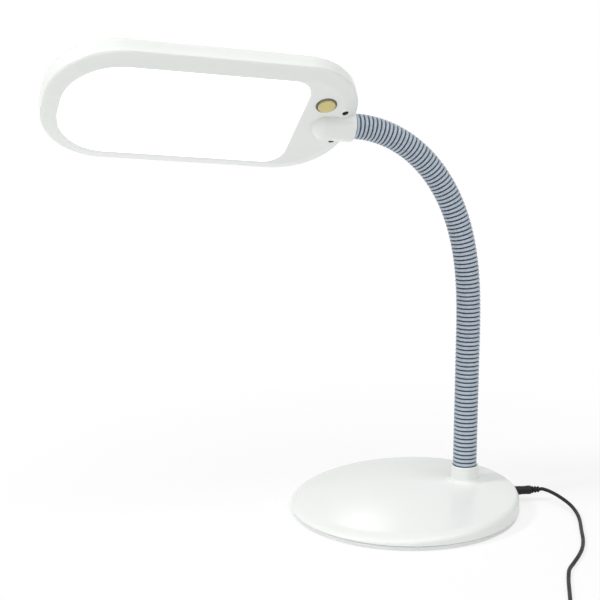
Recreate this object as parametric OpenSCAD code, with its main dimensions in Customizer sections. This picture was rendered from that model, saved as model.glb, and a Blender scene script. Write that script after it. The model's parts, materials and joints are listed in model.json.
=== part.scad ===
// Gooseneck reading lamp: a weighted round base, a ribbed flexible neck and a flat swivelling head.
// Millimetres. The base's centre on the table is the origin, +Z is up and the head reaches towards -X.

/* [Base] */
// Diameter of the base over its side
base_d = 228; // [200:1:270]
// Height of the base's top over its centre
crown_h = 22.4; // [20:0.2:28]
// Slope of the base's top, up towards the neck
top_tilt = 3; // [2:0.5:4]
// Radius of the top's low dome
crown_r = 850; // [700:50:2000]
// Rounding between the top and the side
side_r = 7; // [5:0.5:8]
// Wall of the base cover
base_wall = 2.2; // [1.6:0.1:3]
// Height of the seam between plate and cover
seam_z = 4.7; // [4:0.1:5.5]
// Open line along the seam
seam_gap = 0.4; // [0.2:0.1:0.8]
// How far the plate's top edge stays inside the side
plate_inset = 0.6; // [0.4:0.2:3]
// Thickness of the non-slip pad
pad_t = 0.8; // [0.5:0.1:1.5]
// Diameter of the non-slip pad
pad_d = 200; // [150:5:210]
// Diameter of the ballast weight
ballast_d = 166; // [120:2:170]
// Thickness of the ballast weight
ballast_t = 9; // [5:0.5:9.5]
// Radius of the circle of base screws
base_screw_ring = 93; // [91:0.5:96]

/* [Neck] */
// Distance of the neck from the base's centre
neck_x = 65; // [50:1:70]
// Diameter of the collar's foot
collar_base_d = 32; // [30:0.5:36]
// Diameter of the collar's top
collar_d = 27.5; // [26:0.5:34]
// Height of the collar's top over the table
collar_top = 39.5; // [36:0.5:60]
// Diameter over the ribs
sleeve_d = 24; // [23:0.5:26]
// Diameter at the bottom of the grooves
groove_d = 21.6; // [20.6:0.2:22.4]
// Bore of the sleeve
sleeve_bore = 18; // [17.8:0.1:19]
// Length of one link of the neck
link_len = 33.4; // [30:0.1:40]
// Ribs on one link
link_ribs = 8; // [5:1:9]
// Width of one rib
rib_w = 3; // [2:0.1:3.2]
// Open space between the sleeves of two links
link_gap = 2.4; // [2.2:0.1:3]
// Straight end of the neck, from its last link to the barrel's mouth
neck_end = 3.5; // [2.5:0.1:5]
// Angle that the whole neck bends through
sweep = 84.4; // [30:0.2:95]
// How late the bend comes, where 1 is an even curve
ease = 1.8; // [1:0.1:2.2]
// Diameter of the steel balls in the core
ball_d = 13; // [11:0.5:13.4]
// Diameter of the rods in the core
rod_d = 9; // [6:0.5:9]
// Diameter of the cups that hold the balls
cup_d = 16.4; // [15.6:0.2:16.6]
// Diameter of the threaded spigot in the base
spigot_d = 16; // [12:0.5:17]

/* [Head] */
// Length of the head
head_len = 286; // [240:2:340]
// Width of the head
head_w = 146; // [130:2:170]
// Corner radius at the free end
free_r = 65; // [50:1:65]
// Corner radius at the neck end
neck_r = 60; // [50:1:64]
// Height of the lower bezel
bezel_h = 5.8; // [5:0.2:8]
// Width of the slope round the face
bevel_w = 12; // [8:0.5:14]
// Distance from the head's outline to the diffuser
rim = 14.5; // [13:0.5:18]
// Height of the upper shell's side
shell_h = 12.4; // [11:0.2:16]
// Rise of the upper shell's crown
shell_crown = 2.8; // [2:0.2:5]
// Slope of the upper shell's roof, up towards the free end
roof_tilt = 0.6; // [0:0.1:1]
// Wall of the head's shells
head_wall = 2; // [1.6:0.1:2.4]
// Distance from the neck end to the diffuser
panel_end = 53; // [52:1:70]
// Corner radius of the diffuser at the neck end
panel_r = 19; // [6:1:30]
// Thickness of the diffuser
panel_t = 3; // [2.6:0.2:4]
// How far the barrel's axis lies above the diffuser's face
barrel_lift = 3; // [2:0.5:4]
// Diameter of the swivel barrel
barrel_d = 30; // [28:0.5:31]
// Length of the swivel barrel
barrel_len = 37; // [34:1:42]
// How far the barrel stands out of the head's end
barrel_out = 1.5; // [1:0.5:6]
// Diameter of the swivel spigot
pivot_d = 18; // [16:0.5:18.5]
// Turn of the head about its barrel, away from level
head_roll = 43; // [-60:1:60]
// LEDs along the board
led_cols = 12; // [4:1:14]
// LEDs across the board
led_rows = 5; // [2:1:6]

/* [Button] */
// Diameter of the push button
button_d = 16.4; // [14:0.2:20]
// How far the button stands out of the bezel
button_proud = 3; // [2.8:0.1:4]
// Travel of the button
button_travel = 2.5; // [1.5:0.1:2.5]
// Distance of the button from the neck end
button_x = 34; // [32:1:40]
// Distance of the button from the middle of the head
button_y = 30; // [29:1:38]

/* [Cord] */
// Diameter of the cord
cord_d = 3.6; // [3:0.1:3.8]
// Direction of the power socket, turned from +X
jack_angle = -9; // [-12:1:-6]
// Height of the power socket's axis
jack_z = 12; // [11:0.5:13]
// Diameter of the plug's body
plug_d = 8.8; // [8:0.2:9.6]
// Length of the plug's body
plug_len = 17; // [14:1:19]
// Layers in the coil
coil_layers = 4; // [2:2:6]
// Turns in each layer of the coil
layer_turns = 2; // [1:1:3]
// Mean radius of the coil
coil_r = 20; // [18:0.5:24]
// Spacing of neighbouring turns and layers
coil_pitch = 4.2; // [4.2:0.1:4.6]
// Length of the adapter's body
adapter_len = 66; // [50:1:90]
// Width of the adapter's body
adapter_w = 44; // [40:1:60]
// Height of the adapter's body
adapter_h = 28; // [26:1:40]

/* [Hidden] */
$fn = 64;
fit = 0.08;
clear = 0.3;
seat = 0.05;
overlap = 1;
links = 12;
straight_links = 4;

base_r = base_d / 2;
dome_h = crown_h - seam_z;
side_x = base_r - side_r;
side_z = dome_h - crown_r + sqrt(pow(crown_r - side_r, 2) - pow(side_x, 2));
side_drop = base_r * tan(top_tilt) + seam_z;
plate_r = base_r - plate_inset;
plate_taper = 0.6;
base_screws_n = 3;
base_reach = 6;
screw_d = 2.8;
screw_head_d = 6;
screw_head_t = 1.6;
screw_reach = 10;
boss_d = 8;

collar_sink = 2;
collar_foot = dome_z(neck_x - collar_base_d / 2) - base_wall - collar_sink;
washer_t = 1.2;
nut_t = 5;
nut_d = 27;
nut_room = 2;
ballast_web = 2.5;
ballast_x = neck_x + nut_d / 2 + nut_room + ballast_web - ballast_d / 2;
thread_end = 1;

cup_wrap = 3;
cup_len = 11;
cup_floor = 8;
ball_play = 0.2;
rod_play = 1;
sleeve_root = sleeve_bore - clear;
sleeve_stop = 0.5;

face_z = -barrel_lift;
crease_z = face_z + bezel_h;
shell_top = crease_z + shell_h;
crown_top = shell_top + shell_crown;
roof_r = (pow(head_w / 2, 2) + pow(shell_crown, 2)) / (2 * shell_crown);
roof_reach = head_len + roof_r * sin(roof_tilt) + 2 * overlap;
face_wall = 1.8;
floor_z = face_z + face_wall;
face_ledge = 0.5;
film = 0.01;

pivot_sink = 3;
pivot_root = neck_end + pivot_sink;
pivot_len = 31;
clip_at = 23;
clip_t = 1.2;
clip_grip = 1;
clip_reach = 1.8;
clip_d = pivot_d + 2 * clip_reach;
barrel_end = 4;

board_t = 1.6;
board_lift = 2.6;
board_z = crease_z + board_lift;
board_inset = 20;
board_end = 4;
board_post_y = 29;
led_end = 22;
led_side = 12;
led_size = 5;
led_t = 1;
post_d = 6;
flange_w = 0.7;
flange_t = face_z + panel_t - floor_z;

head_screw_x = 12.5;
head_screw_y = 20.6;
head_boss_d = 10;
head_boss_h = 4.5;
head_boss_skin = 1;
head_sink = 0.8;

ring_rim = 1.7;
ring_d = button_d + 2 * ring_rim;
ring_proud = 0.8;
cap_foot = 3;
stem_d = 4;
stem_len = 5.5;
switch_w = 16;
switch_gap = 0.7;
switch_z = face_z + cap_foot + button_travel + switch_gap;
switch_h = 8.4;
driver_l = 34;
driver_w = 26;
driver_y = 22;
driver_at = [-(head_screw_x + boss_d / 2 + clear + driver_l), driver_y];

jack_w = 10;
jack_len = 15;
jack_front = base_r - side_r / 2 - 2 * clear;
jack_back = jack_front - jack_len;
jack_snout_d = 9.8;
jack_bore_d = 5.5;
jack_pin_d = 1.6;
jack_depth = 11;
contact_d = 5.2;
contact_len = 9;
contact_bore_d = 2.2;
plug_stand = 0.4;
relief_rings = 3;
relief_d = 6.4;
relief_root_d = 4.8;
relief_len = 9.1;
relief_fill = 0.7;

jack_way = [cos(jack_angle), sin(jack_angle), 0];
plug_exit = (base_r + plug_stand + plug_len + relief_len) * jack_way + [0, 0, jack_z];
cord_route = [
  [148, -29, 10.5], [153, -40, 8], [155.5, -55, 5.5], [154, -71, 3.2], [148, -89, 2], [137, -112, 2],
  [126, -135, 2], [115, -153, 2], [103, -168, 2], [91, -181, 2], [80, -193, 2], [72, -206, 2],
  [65, -219, 2], [58, -233, 2], [50, -249, 2], [42, -265, 2], [35, -281, 2], [28, -297, 2],
  [22, -311, 2.4], [16, -325, 3.2]];
cord_points = concat([plug_exit, plug_exit + cord_d * jack_way], cord_route);
cord_steps = 3;
cord_sides = 8;

coil_turns = coil_layers * layer_turns;
coil_span = layer_turns * coil_pitch;
coil_out = coil_r + coil_span / 2;
cord_end = cord_route[len(cord_route) - 1];
cord_before = cord_route[len(cord_route) - 2];
coil_z = cord_end[2];
coil_angle = atan2(cord_end[1] - cord_before[1], cord_end[0] - cord_before[0]);
coil_way = [cos(coil_angle), sin(coil_angle), 0];
coil_mid = cord_end + cord_d * coil_way + coil_out * [sin(coil_angle), -cos(coil_angle), 0];
coil_rings = 24;
coil_sides = 6;
climb_turns = 0.5;
coil_top = coil_z + (coil_layers - 1) * coil_pitch;
tie_w = 9;
tie_t = 0.8;
tie_play = 0.3;

tail_len = 34;
adapter_round = 4;
pin_len = 19;
pin_d = 4;
pin_gap = 19;
gland_d = 7;
gland_len = 8;

// Height of the base's top over the table, on its line from the thin side to the neck
function dome_z(x) = crown_h + x * tan(top_tilt) - pow(x, 2) / (2 * crown_r);

// Heading of the neck at the end of link k, in degrees from upright towards -X
function heading(k) = sweep * pow(max(0, k - straight_links) / (links - straight_links), ease);
function bend(k) = heading(k) - heading(k - 1);
function arc_r(k) = link_len / (bend(k) * PI / 180);
function chord(k) = bend(k) == 0 ? link_len : 2 * arc_r(k) * sin(bend(k) / 2);
function way(k) = (heading(k) + heading(k - 1)) / 2;
// Where link k ends
function tip(k) = k == 0 ? [neck_x, 0, collar_top] : tip(k - 1) + chord(k) * [-sin(way(k)), 0, cos(way(k))];

// Puts children at the end of link k, with +Z along the neck
module at_tip(k) {
  translate(tip(k)) rotate([0, -heading(k), 0]) children();
}

// Puts children at the barrel's mouth, with +Z into the barrel
module at_mouth() {
  at_tip(links) translate([0, 0, neck_end]) children();
}

// Sweeps a flat shape along link k, between two distances from the link's start
module along(k, from, to) {
  turn = bend(k) / link_len;
  at_tip(k - 1)
    if (turn == 0)
      translate([0, 0, from]) linear_extrude(to - from) children();
    else
      translate([-arc_r(k), 0, 0]) rotate([90, 0, 0]) rotate([0, 0, from * turn])
        rotate_extrude(angle = (to - from) * turn) translate([arc_r(k), 0]) children();
}

module annulus(outer, inner) {
  difference() {
    circle(d = outer);
    circle(d = inner);
  }
}

// Half outline of the base about its tilted axis, with the seam at 0, drawn in by inset
module base_outline(inset) {
  intersection() {
    translate([0, -side_drop]) union() {
      square([side_x, side_drop + dome_h]);
      square([base_r - inset, side_drop + side_z]);
      translate([side_x, side_drop + side_z]) circle(side_r - inset);
    }
    translate([0, dome_h - crown_r]) circle(crown_r - inset, $fn = 720);
  }
}

// Solid of the base above the height foot, thin on the side away from the neck, drawn in by inset
module base_solid(inset, foot) {
  intersection() {
    translate([0, 0, seam_z]) rotate([0, -top_tilt, 0]) rotate_extrude($fn = 180) base_outline(inset);
    translate([-base_d, -base_d, foot]) cube([2 * base_d, 2 * base_d, base_d]);
  }
}

module base_screw_spots() {
  for (k = [0:base_screws_n - 1])
    rotate([0, 0, k * 360 / base_screws_n]) translate([base_screw_ring, 0, 0]) children();
}

module at_jack() {
  rotate([0, 0, jack_angle]) translate([0, 0, jack_z]) rotate([0, 90, 0]) children();
}

module base_cover() {
  color("whitesmoke") difference() {
    union() {
      difference() {
        base_solid(0, seam_z + seam_gap);
        base_solid(base_wall, seam_z);
      }
      translate([neck_x, 0, collar_foot])
        cylinder(d1 = collar_base_d, d2 = collar_d, h = collar_top - collar_foot);
      intersection() {
        base_screw_spots() translate([0, 0, seam_z]) cylinder(d = boss_d, h = crown_h);
        base_solid(base_wall / 2, seam_z);
      }
    }
    translate([neck_x, 0, 0]) cylinder(d = spigot_d + 2 * fit, h = collar_top + overlap);
    base_screw_spots()
      translate([0, 0, seam_z - overlap]) cylinder(d = screw_d + 2 * seat, h = base_reach + overlap);
    at_jack() translate([0, 0, jack_back]) cylinder(d = jack_snout_d + 2 * clear, h = base_d);
  }
}

module base_plate() {
  color("gainsboro") difference() {
    translate([0, 0, pad_t]) cylinder(r1 = plate_r - plate_taper, r2 = plate_r, h = seam_z - pad_t);
    base_screw_spots() {
      cylinder(d = screw_d + 2 * clear, h = seam_z + overlap);
      cylinder(d = screw_head_d + 2 * clear, h = pad_t + screw_head_t);
    }
  }
}

module base_pad() {
  color("dimgray") difference() {
    cylinder(d = pad_d, h = pad_t);
    base_screw_spots()
      translate([0, 0, -overlap]) cylinder(d = screw_head_d + 2 * clear, h = pad_t + 2 * overlap);
  }
}

module ballast_weight() {
  color("slategray") difference() {
    intersection() {
      translate([ballast_x, 0, seam_z]) cylinder(d = ballast_d, h = ballast_t);
      base_solid(base_wall + clear, seam_z - overlap);
    }
    translate([neck_x, 0, 0]) cylinder(d = nut_d + 2 * nut_room, h = collar_top);
    base_screw_spots() {
      cylinder(d = boss_d + 2 * clear, h = collar_top);
      translate([0, -boss_d / 2 - clear, 0]) cube([base_r, boss_d + 2 * clear, collar_top]);
    }
    jack_case(clear);
  }
}

module base_screws() {
  color("silver") base_screw_spots() {
    translate([0, 0, pad_t]) cylinder(d = screw_head_d, h = screw_head_t);
    translate([0, 0, pad_t]) cylinder(d = screw_d, h = seam_z - pad_t + base_reach - overlap);
  }
}

module neck_washer() {
  color("silver") translate([neck_x, 0, collar_foot - washer_t]) linear_extrude(washer_t)
    annulus(nut_d, spigot_d + 2 * fit);
}

module neck_nut() {
  color("silver") translate([neck_x, 0, collar_foot - washer_t - nut_t]) difference() {
    cylinder(d = nut_d, h = nut_t, $fn = 6);
    translate([0, 0, -overlap]) cylinder(d = spigot_d + 2 * fit, h = nut_t + 2 * overlap);
  }
}

// Cup at the start of a link, open downwards round the ball of the link below
module ball_cup() {
  difference() {
    translate([0, 0, -cup_wrap]) cylinder(d = cup_d, h = cup_wrap + cup_len);
    sphere(d = ball_d + 2 * ball_play);
    translate([0, 0, -cup_wrap - overlap]) cylinder(d = rod_d + 2 * rod_play, h = cup_wrap + overlap);
  }
}

// One link of the steel core: the first is screwed into the base, the last carries the head
module neck_core(k) {
  color("darkgray") union() {
    if (k == 1) {
      spigot_h = collar_top - collar_foot + washer_t + nut_t + thread_end;
      at_tip(0) translate([0, 0, -spigot_h]) cylinder(d = spigot_d, h = spigot_h + overlap);
      at_tip(0) cylinder(d = sleeve_root, h = cup_floor + overlap);
    } else {
      at_tip(k - 1) ball_cup();
    }
    along(k, cup_floor, link_len) circle(d = rod_d);
    if (k == links)
      at_mouth() pivot();
    else
      at_tip(k) sphere(d = ball_d);
  }
}

// Spigot that the head turns on, with the groove of its retaining clip
module pivot() {
  translate([0, 0, -pivot_root]) difference() {
    cylinder(d = pivot_d - 2 * seat, h = pivot_root + pivot_len);
    translate([0, 0, pivot_root + clip_at - seat]) linear_extrude(clip_t + 2 * seat)
      annulus(pivot_d + 2 * overlap, pivot_d - 2 * clip_grip);
  }
}

// One link of the ribbed rubber sleeve, where the last runs on to the barrel's mouth
module neck_sleeve(k) {
  from = k == 1 ? 0 : link_gap / 2;
  to = link_len - link_gap / 2;
  step = (to - from - rib_w) / (link_ribs - 1);
  bore = k == links ? max(sleeve_bore, pivot_d + 2 * seat) : sleeve_bore;
  color("lightsteelblue") union() {
    along(k, from, k == links ? link_len : to) annulus(groove_d, bore);
    for (i = [0:link_ribs - 1])
      along(k, from + i * step, from + i * step + rib_w) annulus(sleeve_d, (groove_d + bore) / 2);
    if (k == links)
      at_tip(k) translate([0, 0, -sleeve_stop]) linear_extrude(neck_end) annulus(sleeve_d, bore + 2 * seat);
  }
}

// Puts children in the head's own frame: its end wall at 0, +X towards the neck, the lit face downwards
module at_head() {
  translate(tip(links)) rotate([0, 90 - heading(links), 0]) rotate([-head_roll, 0, 0])
    translate([-neck_end - barrel_out, 0, 0]) children();
}

// Puts children on the barrel's axis in the head's frame, with its mouth at 0 and +Z towards the neck
module on_barrel() {
  translate([barrel_out, 0, 0]) rotate([0, 90, 0]) children();
}

// Rounded outline from x0 to x1, half as wide as half, with its own radius at each end
module rounded(x0, x1, half, r0, r1) {
  translate([x0 + r0, -half]) square([x1 - x0 - r0 - r1, 2 * half]);
  translate([x0, r0 - half]) square([r0 + overlap, 2 * (half - r0)]);
  translate([x1 - r1 - overlap, r1 - half]) square([r1 + overlap, 2 * (half - r1)]);
  for (side = [-1, 1]) {
    translate([x0 + r0, side * (half - r0)]) circle(r0);
    translate([x1 - r1, side * (half - r1)]) circle(r1);
  }
}

// Outline of the head, drawn in by inset
module plan(inset) {
  rounded(-head_len + inset, -inset, head_w / 2 - inset, free_r - inset, neck_r - inset);
}

// Outline of the diffuser, let out by grow
module panel(grow) {
  in = rim - grow;
  rounded(-head_len + in, grow - panel_end, head_w / 2 - in, free_r - in, panel_r + grow);
}

// Thin slab of the head's outline, for the smooth shells
module slab(inset, z) {
  translate([0, 0, z]) linear_extrude(film, $fn = 48) plan(inset);
}

// Solid of the upper shell above the height foot, with its crowned roof, drawn in by inset
module shell_body(inset, foot) {
  intersection() {
    translate([0, 0, foot]) linear_extrude(crown_top + roof_reach * tan(roof_tilt) - foot) plan(inset);
    translate([overlap, 0, crown_top - roof_r]) rotate([0, roof_tilt - 90, 0])
      cylinder(r = roof_r - inset, h = roof_reach, $fn = 720);
  }
}

module head_screw_spots() {
  for (side = [-1, 1]) translate([-head_screw_x, side * head_screw_y, 0]) children();
}

// Places that hold up the LED board
module board_spots() {
  for (x = [-head_len + free_r, -panel_end - panel_r], side = [-1, 1])
    translate([x, side * board_post_y, 0]) children();
}

module driver_spot() {
  translate([driver_at[0], driver_at[1], 0]) children();
}

module button_spot() {
  translate([-button_x, -button_y, 0]) children();
}

// Posts under the roof of the head, down to the screws, the boards and the switch
module head_posts() {
  head_screw_spots() translate([0, 0, face_z + head_boss_h]) cylinder(d = boss_d, h = crown_top);
  board_spots() translate([0, 0, board_z + board_t]) cylinder(d = post_d, h = crown_top);
  driver_spot()
    translate([driver_l / 2, driver_w / 2, board_z + board_t]) cylinder(d = post_d, h = crown_top);
  button_spot() translate([0, 0, switch_z + switch_h]) cylinder(d = post_d, h = crown_top);
}

module head_cover() {
  color("whitesmoke") at_head() difference() {
    union() {
      difference() {
        shell_body(0, crease_z + clear);
        shell_body(head_wall, crease_z);
      }
      intersection() {
        head_posts();
        shell_body(head_wall / 2, face_z);
      }
    }
    on_barrel() translate([0, 0, -barrel_len - clear])
      cylinder(d = barrel_d + 2 * clear, h = barrel_len + 2 * overlap);
    head_screw_spots()
      translate([0, 0, face_z]) cylinder(d = screw_d + 2 * seat, h = head_boss_h + screw_reach);
  }
}

module head_bezel() {
  color("whitesmoke") at_head() difference() {
    union() {
      difference() {
        hull() {
          slab(0, crease_z - film);
          slab(bevel_w, face_z);
        }
        hull() {
          slab(head_wall, crease_z);
          slab(bevel_w + face_ledge, floor_z);
        }
      }
      on_barrel() translate([0, 0, -barrel_len]) cylinder(d = barrel_d, h = barrel_len);
      head_screw_spots() translate([0, 0, face_z + head_boss_skin])
        cylinder(d = head_boss_d, h = head_boss_h - head_boss_skin);
    }
    translate([0, 0, face_z - overlap]) linear_extrude(bezel_h) panel(clear);
    on_barrel() {
      translate([0, 0, -clip_at + clear]) cylinder(d = pivot_d + 2 * fit, h = clip_at + overlap);
      translate([0, 0, barrel_end - barrel_len])
        cylinder(d = clip_d + 2 * clear, h = barrel_len - barrel_end - clip_at + clear);
    }
    head_screw_spots() {
      translate([0, 0, face_z - overlap]) cylinder(d = screw_d + 2 * clear, h = head_boss_h + 2 * overlap);
      translate([0, 0, face_z - overlap])
        cylinder(d = screw_head_d + 2 * clear, h = overlap + head_sink + screw_head_t);
    }
    button_spot() translate([0, 0, face_z - overlap]) cylinder(d = ring_d + 2 * seat, h = bezel_h);
  }
}

module diffuser() {
  color("white") at_head() {
    translate([0, 0, face_z]) linear_extrude(panel_t) panel(0);
    translate([0, 0, floor_z]) linear_extrude(flange_t) panel(flange_w);
  }
}

module led_board() {
  color("seagreen") at_head() translate([0, 0, board_z]) linear_extrude(board_t)
    rounded(-head_len + board_inset, -panel_end - board_end, head_w / 2 - board_inset,
      free_r - board_inset, panel_r);
}

module leds() {
  x0 = -head_len + board_inset + led_end;
  step_x = (-panel_end - led_end - x0) / (led_cols - 1);
  step_y = (head_w - 2 * (board_inset + led_side)) / (led_rows - 1);
  color("lemonchiffon") at_head()
    for (i = [0:led_cols - 1], j = [0:led_rows - 1])
      translate([x0 + i * step_x, (j - (led_rows - 1) / 2) * step_y, board_z - led_t])
        translate([-led_size / 2, -led_size / 2, 0]) cube([led_size, led_size, led_t]);
}

module driver_board() {
  color("seagreen") at_head() driver_spot() translate([0, 0, board_z]) cube([driver_l, driver_w, board_t]);
}

module switch_body() {
  color("dimgray") at_head() button_spot() difference() {
    translate([-switch_w / 2, -switch_w / 2, switch_z]) cube([switch_w, switch_w, switch_h]);
    translate([0, 0, switch_z - overlap]) cylinder(d = stem_d + 2 * clear, h = switch_h);
  }
}

module button_cap() {
  color("goldenrod") at_head() button_spot() {
    translate([0, 0, face_z - button_proud]) cylinder(d = button_d, h = button_proud + cap_foot);
    translate([0, 0, face_z + cap_foot]) cylinder(d = stem_d, h = stem_len);
  }
}

module button_ring() {
  color("dimgray") at_head() button_spot() translate([0, 0, face_z - ring_proud])
    linear_extrude(ring_proud + head_wall) annulus(ring_d, button_d + 2 * clear);
}

module head_screws() {
  color("silver") at_head() head_screw_spots() translate([0, 0, face_z + head_sink]) {
    cylinder(d = screw_head_d, h = screw_head_t);
    cylinder(d = screw_d, h = head_boss_h - head_sink + screw_reach - overlap);
  }
}

module swivel_clip() {
  color("silver") at_mouth() translate([0, 0, clip_at]) linear_extrude(clip_t)
    annulus(clip_d, pivot_d - 2 * clip_grip + 2 * seat);
}

// Case of the power socket on the base plate, let out by grow
module jack_case(grow) {
  rotate([0, 0, jack_angle]) translate([jack_back - grow, -jack_w / 2 - grow, seam_z - grow])
    cube([jack_len + 2 * grow, jack_w + 2 * grow, jack_z + jack_w / 2 - seam_z + 2 * grow]);
}

module dc_jack() {
  color("dimgray") {
    difference() {
      union() {
        intersection() {
          jack_case(0);
          base_solid(base_wall + clear, seam_z - overlap);
        }
        at_jack() translate([0, 0, jack_front - overlap])
          cylinder(d = jack_snout_d, h = base_r - jack_front + overlap);
      }
      at_jack() translate([0, 0, base_r - jack_depth]) cylinder(d = jack_bore_d, h = jack_depth + overlap);
    }
    at_jack() translate([0, 0, base_r - jack_depth - overlap]) cylinder(d = jack_pin_d, h = jack_depth);
  }
}

module dc_plug() {
  ring_step = relief_len / relief_rings;
  ring_w = ring_step * relief_fill;
  color("dimgray") at_jack() translate([0, 0, base_r + plug_stand]) difference() {
    union() {
      translate([0, 0, -contact_len - plug_stand]) cylinder(d = contact_d, h = contact_len + overlap);
      cylinder(d = plug_d, h = plug_len);
      for (i = [1:relief_rings])
        translate([0, 0, plug_len + i * ring_step - ring_w]) cylinder(d = relief_d, h = ring_w);
      translate([0, 0, plug_len - overlap]) cylinder(d = relief_root_d, h = relief_len + overlap);
    }
    translate([0, 0, -contact_len - plug_stand - overlap]) cylinder(d = contact_bore_d, h = contact_len);
  }
}

// Smooth curve through the four points p, at t from 0 to 1
function curve(p, t) = 0.5 * (2 * p[1] + (p[2] - p[0]) * t + (2 * p[0] - 5 * p[1] + 4 * p[2] - p[3]) * t * t
  + (3 * p[1] - p[0] - 3 * p[2] + p[3]) * t * t * t);
function clamped(list, i) = list[min(max(i, 0), len(list) - 1)];
function smooth(list, steps) = concat(
  [for (i = [0:len(list) - 2], j = [0:steps - 1]) curve([for (n = [-1:2]) clamped(list, i + n)], j / steps)],
  [list[len(list) - 1]]);
function unit(v) = v / norm(v);
function direction(line, i) = unit(clamped(line, i + 1) - clamped(line, i - 1));

// Round tube through a list of points, with one ring of sides at each point
module tube(line, d, sides, flow) {
  rings = len(line);
  points = [for (i = [0:rings - 1])
    let (ahead = flow[i], across = unit(cross([0, 0, 1], ahead)), up = cross(ahead, across))
    for (s = [0:sides - 1])
      line[i] + d / 2 * (cos(360 * s / sides) * across + sin(360 * s / sides) * up)];
  walls = [for (i = [0:rings - 2], s = [0:sides - 1])
    let (a = i * sides + s, b = i * sides + (s + 1) % sides)
    each [[a, a + sides, b], [b, a + sides, b + sides]]];
  caps = [for (s = [1:sides - 2]) each [[0, s, s + 1],
    [(rings - 1) * sides, (rings - 1) * sides + s + 1, (rings - 1) * sides + s]]];
  polyhedron(points, concat(walls, caps));
}

cord_line = smooth(cord_points, cord_steps);

module cord_run() {
  last = len(cord_line) - 1;
  flow = [for (i = [0:last]) i == 0 ? jack_way : i == last ? coil_way : direction(cord_line, i)];
  color("dimgray") tube(cord_line, cord_d, cord_sides, flow);
}

// The coil winds inwards on its even layers and outwards on its odd ones
function layer_of(t) = min(floor(t / layer_turns), coil_layers - 1);
function layer_part(t) = t / layer_turns - layer_of(t);
function turn_r(t) = coil_out - coil_span * (layer_of(t) % 2 == 0 ? layer_part(t) : 1 - layer_part(t));
function ramp(x) = let (c = min(max(x, 0), 1)) c * c * (3 - 2 * c);
function sum(v, i = 0) = i == len(v) ? 0 : v[i] + sum(v, i + 1);
function climbed(t) = sum([for (j = [1:coil_layers - 1]) ramp((t - j * layer_turns) / climb_turns + 0.5)]);
function turn_angle(t) = coil_angle + 90 - 360 * t;
function coil_point(t) = coil_mid
  + [turn_r(t) * cos(turn_angle(t)), turn_r(t) * sin(turn_angle(t)), coil_pitch * climbed(t)];
coil_line = concat(
  [coil_point(0) - cord_d * coil_way],
  [for (i = [0:coil_turns * coil_rings]) coil_point(i / coil_rings)],
  [coil_point(coil_turns) + cord_d * coil_way]);

// Least gap between turns of the coil that are at least a third of a turn apart along the cord
coil_gap = min([for (i = [1:len(coil_line) - 2], j = [i + coil_rings / 3:2 * coil_rings + i])
  if (j < len(coil_line) - 1) norm(coil_line[i] - coil_line[j])]) - cord_d;
echo(coil_gap = coil_gap);

module cord_coil() {
  last = len(coil_line) - 1;
  flow = [for (i = [0:last]) i < 2 || i > last - 2 ? coil_way : direction(coil_line, i)];
  color("dimgray") tube(coil_line, cord_d, coil_sides, flow);
}

coil_exit = coil_line[len(coil_line) - 1];

module cord_tail() {
  drop = coil_top - adapter_h / 2;
  line = [for (i = [0:6]) coil_exit + i / 6 * tail_len * coil_way - [0, 0, drop * ramp((i - 1) / 4)]];
  flow = [for (i = [0:6]) i == 0 || i == 6 ? coil_way : direction(line, i)];
  color("dimgray") tube(line, cord_d, cord_sides, flow);
}

module cord_tie() {
  inside_w = coil_span + cord_d + 2 * tie_play;
  inside_h = coil_top - coil_z + cord_d + 2 * tie_play;
  color("black") translate([coil_mid[0], coil_mid[1], coil_z - cord_d / 2 - tie_play - tie_t])
    rotate([0, 0, coil_angle - 90]) translate([coil_r - inside_w / 2 - tie_t, -tie_w / 2, 0]) difference() {
      cube([inside_w + 2 * tie_t, tie_w, inside_h + 2 * tie_t]);
      translate([tie_t, -overlap, tie_t]) cube([inside_w, tie_w + 2 * overlap, inside_h]);
    }
}

module at_adapter() {
  translate([coil_exit[0], coil_exit[1], 0] + tail_len * coil_way) rotate([0, 0, coil_angle]) children();
}

module adapter_body() {
  color("dimgray") at_adapter() {
    translate([gland_len, 0, adapter_h / 2]) intersection() {
      rotate([0, 90, 0]) linear_extrude(adapter_len)
        rounded(-adapter_h / 2, adapter_h / 2, adapter_w / 2, adapter_round, adapter_round);
      translate([0, 0, -adapter_h / 2]) linear_extrude(adapter_h)
        rounded(0, adapter_len, adapter_w / 2, adapter_round, adapter_round);
    }
    translate([0, 0, adapter_h / 2]) rotate([0, 90, 0]) cylinder(d = gland_d, h = gland_len + overlap);
  }
}

module adapter_pins() {
  color("silver") at_adapter() for (side = [-1, 1])
    translate([gland_len + adapter_len, side * pin_gap / 2, adapter_h / 2]) rotate([0, 90, 0])
      cylinder(d = pin_d, h = pin_len);
}

base_cover();
base_plate();
base_pad();
ballast_weight();
base_screws();
neck_washer();
neck_nut();
for (k = [1:links]) {
  neck_core(k);
  neck_sleeve(k);
}
head_cover();
head_bezel();
diffuser();
led_board();
leds();
driver_board();
switch_body();
button_cap();
button_ring();
head_screws();
swivel_clip();
dc_jack();
dc_plug();
cord_run();
cord_coil();
cord_tail();
cord_tie();
adapter_body();
adapter_pins();
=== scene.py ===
"""Gooseneck reading lamp: finished surfaces for a weighted base, a ribbed neck, a lit head and a cord."""
import json
import math

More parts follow.
